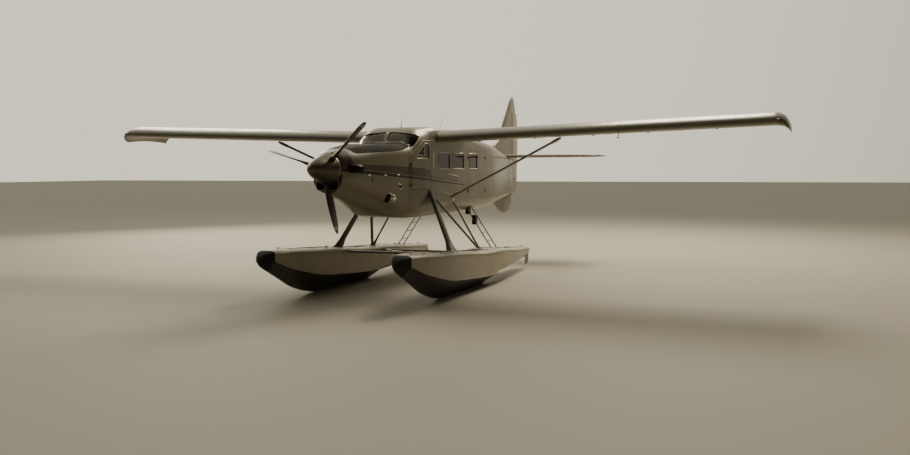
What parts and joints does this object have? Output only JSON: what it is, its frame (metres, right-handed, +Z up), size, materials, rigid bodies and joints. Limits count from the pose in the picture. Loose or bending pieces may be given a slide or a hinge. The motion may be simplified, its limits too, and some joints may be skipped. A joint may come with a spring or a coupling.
{
  "type": "floatplane",
  "caption": "Strut-braced high-wing floatplane with a turbine engine, feathered propeller, hinged control surfaces, opening doors and water rudders.",
  "frame": {"origin": "on the floor under the middle of the aircraft's length and span", "axes": "+Z up, -Y towards the propeller, +X towards the port wing tip"},
  "size_m": [17.68, 13.69, 5.242],
  "materials": {
    "cream_paint": "painted, glossy, slightly weathered",
    "float_paint": "painted, satin, scuffed",
    "bare_metal": "brushed",
    "polished_metal": "polished",
    "blade_paint": "matt dark paint",
    "exhaust_steel": "heat-stained",
    "cast_metal": "cast",
    "rubber": "matt",
    "glass": "clear, lightly tinted",
    "dark_trim": "matt",
    "seat_cloth": "woven"
  },
  "bodies": {
    "airframe": {"cabin_floor": "cream_paint", "cabin_roof": "cream_paint", "cabin_side_port": "cream_paint", "cabin_side_starboard": "cream_paint", "cabin_glass_port": "glass", "cabin_glass_starboard": "glass", "windshield_port": "glass", "windshield_starboard": "glass", "firewall": "bare_metal", "rear_bulkhead": "bare_metal", "tail_cone": "cream_paint", "tailplane": "cream_paint", "fin": "cream_paint", "wing_port": "cream_paint", "wing_starboard": "cream_paint", "wing_strut_port": "cream_paint", "wing_strut_starboard": "cream_paint", "cowl_upper": "cream_paint", "cowl_lower": "cream_paint", "engine": "cast_metal", "exhaust_port": "exhaust_steel", "exhaust_starboard": "exhaust_steel", "float_port": "float_paint", "float_starboard": "float_paint", "float_bumper_port": "rubber", "float_bumper_starboard": "rubber", "float_struts_port": "float_paint", "float_struts_starboard": "float_paint", "spreader_bar_front": "float_paint", "spreader_bar_rear": "float_paint", "ladder_port": "bare_metal", "ladder_starboard": "bare_metal", "pilot_seat_port": "seat_cloth", "pilot_seat_starboard": "seat_cloth", "cabin_seats_front": "seat_cloth", "cabin_seats_rear": "seat_cloth", "instrument_panel": "dark_trim", "control_column": "dark_trim"},
    "propeller": {"propeller_blades": "blade_paint", "spinner": "polished_metal"},
    "flap_port": {"flap_port": "cream_paint"},
    "flap_starboard": {"flap_starboard": "cream_paint"},
    "aileron_port": {"aileron_port": "cream_paint"},
    "aileron_starboard": {"aileron_starboard": "cream_paint"},
    "elevator": {"elevator": "cream_paint"},
    "rudder": {"rudder": "cream_paint"},
    "water_rudder_port": {"water_rudder_port": "bare_metal"},
    "water_rudder_starboard": {"water_rudder_starboard": "bare_metal"},
    "cockpit_door_port": {"cockpit_door_port": "cream_paint", "cockpit_door_glass_port": "glass"},
    "cockpit_door_starboard": {"cockpit_door_starboard": "cream_paint", "cockpit_door_glass_starboard": "glass"},
    "cabin_door_port": {"cabin_door_port": "cream_paint", "cabin_door_glass_port": "glass"},
    "cabin_door_starboard": {"cabin_door_starboard": "cream_paint", "cabin_door_glass_starboard": "glass"},
    "cargo_door_port": {"cargo_door_port": "cream_paint"}
  },
  "joints": [
    {"name": "propeller_spin", "type": "hinge", "parent": "airframe", "child": "propeller", "pos_m": [0, -6.275, 2.885], "axis": [0, 1, 0], "continuous": true},
    {"name": "flap_port_hinge", "type": "hinge", "parent": "airframe", "child": "flap_port", "pos_m": [0.9, -0.845, 3.66019], "axis": [-0.9994, 0, -0.0349], "range_deg": [0, 60]},
    {"name": "flap_starboard_hinge", "type": "hinge", "parent": "airframe", "child": "flap_starboard", "pos_m": [-0.9, -0.845, 3.66019], "axis": [-0.9994, 0, 0.0349], "range_deg": [0, 60]},
    {"name": "aileron_port_hinge", "type": "hinge", "parent": "airframe", "child": "aileron_port", "pos_m": [4.907, -0.845, 3.80012], "axis": [-0.9994, 0, -0.0349], "range_deg": [-20, 20]},
    {"name": "aileron_starboard_hinge", "type": "hinge", "parent": "airframe", "child": "aileron_starboard", "pos_m": [-4.907, -0.845, 3.80012], "axis": [-0.9994, 0, 0.0349], "range_deg": [-20, 20]},
    {"name": "elevator_hinge", "type": "hinge", "parent": "airframe", "child": "elevator", "pos_m": [0, 5.875, 3.27], "axis": [-1, 0, 0], "range_deg": [-25, 15]},
    {"name": "rudder_hinge", "type": "hinge", "parent": "airframe", "child": "rudder", "pos_m": [0, 6.145, 3.6], "axis": [0, 0, 1], "range_deg": [-25, 25]},
    {"name": "water_rudder_port_hinge", "type": "hinge", "parent": "airframe", "child": "water_rudder_port", "pos_m": [1.6, 2.467, 0.5], "axis": [0, 0, 1], "range_deg": [-30, 30]},
    {"name": "water_rudder_starboard_hinge", "type": "hinge", "parent": "airframe", "child": "water_rudder_starboard", "pos_m": [-1.6, 2.467, 0.5], "axis": [0, 0, 1], "range_deg": [-30, 30]},
    {"name": "cockpit_door_port_hinge", "type": "hinge", "parent": "airframe", "child": "cockpit_door_port", "pos_m": [0.7615, -3.595, 2.8], "axis": [0, 0, -1], "range_deg": [0, 90]},
    {"name": "cockpit_door_starboard_hinge", "type": "hinge", "parent": "airframe", "child": "cockpit_door_starboard", "pos_m": [-0.7615, -3.595, 2.8], "axis": [0, 0, 1], "range_deg": [0, 90]},
    {"name": "cabin_door_port_hinge", "type": "hinge", "parent": "airframe", "child": "cabin_door_port", "pos_m": [0.80825, -0.025, 2.8], "axis": [0, 0, -1], "range_deg": [0, 90]},
    {"name": "cabin_door_starboard_hinge", "type": "hinge", "parent": "airframe", "child": "cabin_door_starboard", "pos_m": [-0.80825, -0.025, 2.8], "axis": [0, 0, 1], "range_deg": [0, 90]},
    {"name": "cargo_door_port_hinge", "type": "hinge", "parent": "airframe", "child": "cargo_door_port", "pos_m": [0.77138, 1.405, 2.8], "axis": [0, 0, 1], "range_deg": [0, 90]}
  ],
  "couplings": [
    {"joint": "flap_starboard_hinge", "follows": "flap_port_hinge", "ratio": 1},
    {"joint": "aileron_starboard_hinge", "follows": "aileron_port_hinge", "ratio": -1},
    {"joint": "water_rudder_port_hinge", "follows": "rudder_hinge", "ratio": 1.2},
    {"joint": "water_rudder_starboard_hinge", "follows": "rudder_hinge", "ratio": 1.2}
  ]
}
